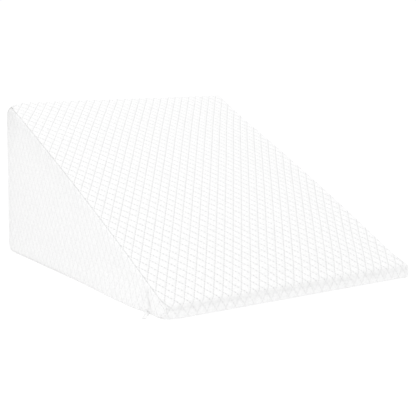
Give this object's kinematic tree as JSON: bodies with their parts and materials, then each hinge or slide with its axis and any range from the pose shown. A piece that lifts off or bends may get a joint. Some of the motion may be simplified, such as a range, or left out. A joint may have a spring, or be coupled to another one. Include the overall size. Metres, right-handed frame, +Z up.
{
  "type": "wedge leg pillow",
  "caption": "Wedge leg pillow: a firm filled wedge in a white knitted cover with a fine diamond lattice, a thin nose, a tall back and a zip pull.",
  "frame": {"origin": "middle of the floor under the whole pillow's bounding box", "axes": "+X across the pillow, +Y from the thin nose to the tall back, +Z up"},
  "size_m": [0.5332, 0.6228, 0.3048],
  "materials": {
    "cover": "matte white air-layer knit with a grooved diamond lattice",
    "pull": "semi-gloss white moulded"
  },
  "bodies": {
    "root": {"wedge_cushion": "cover", "zip_pull": "pull"}
  },
  "joints": []
}
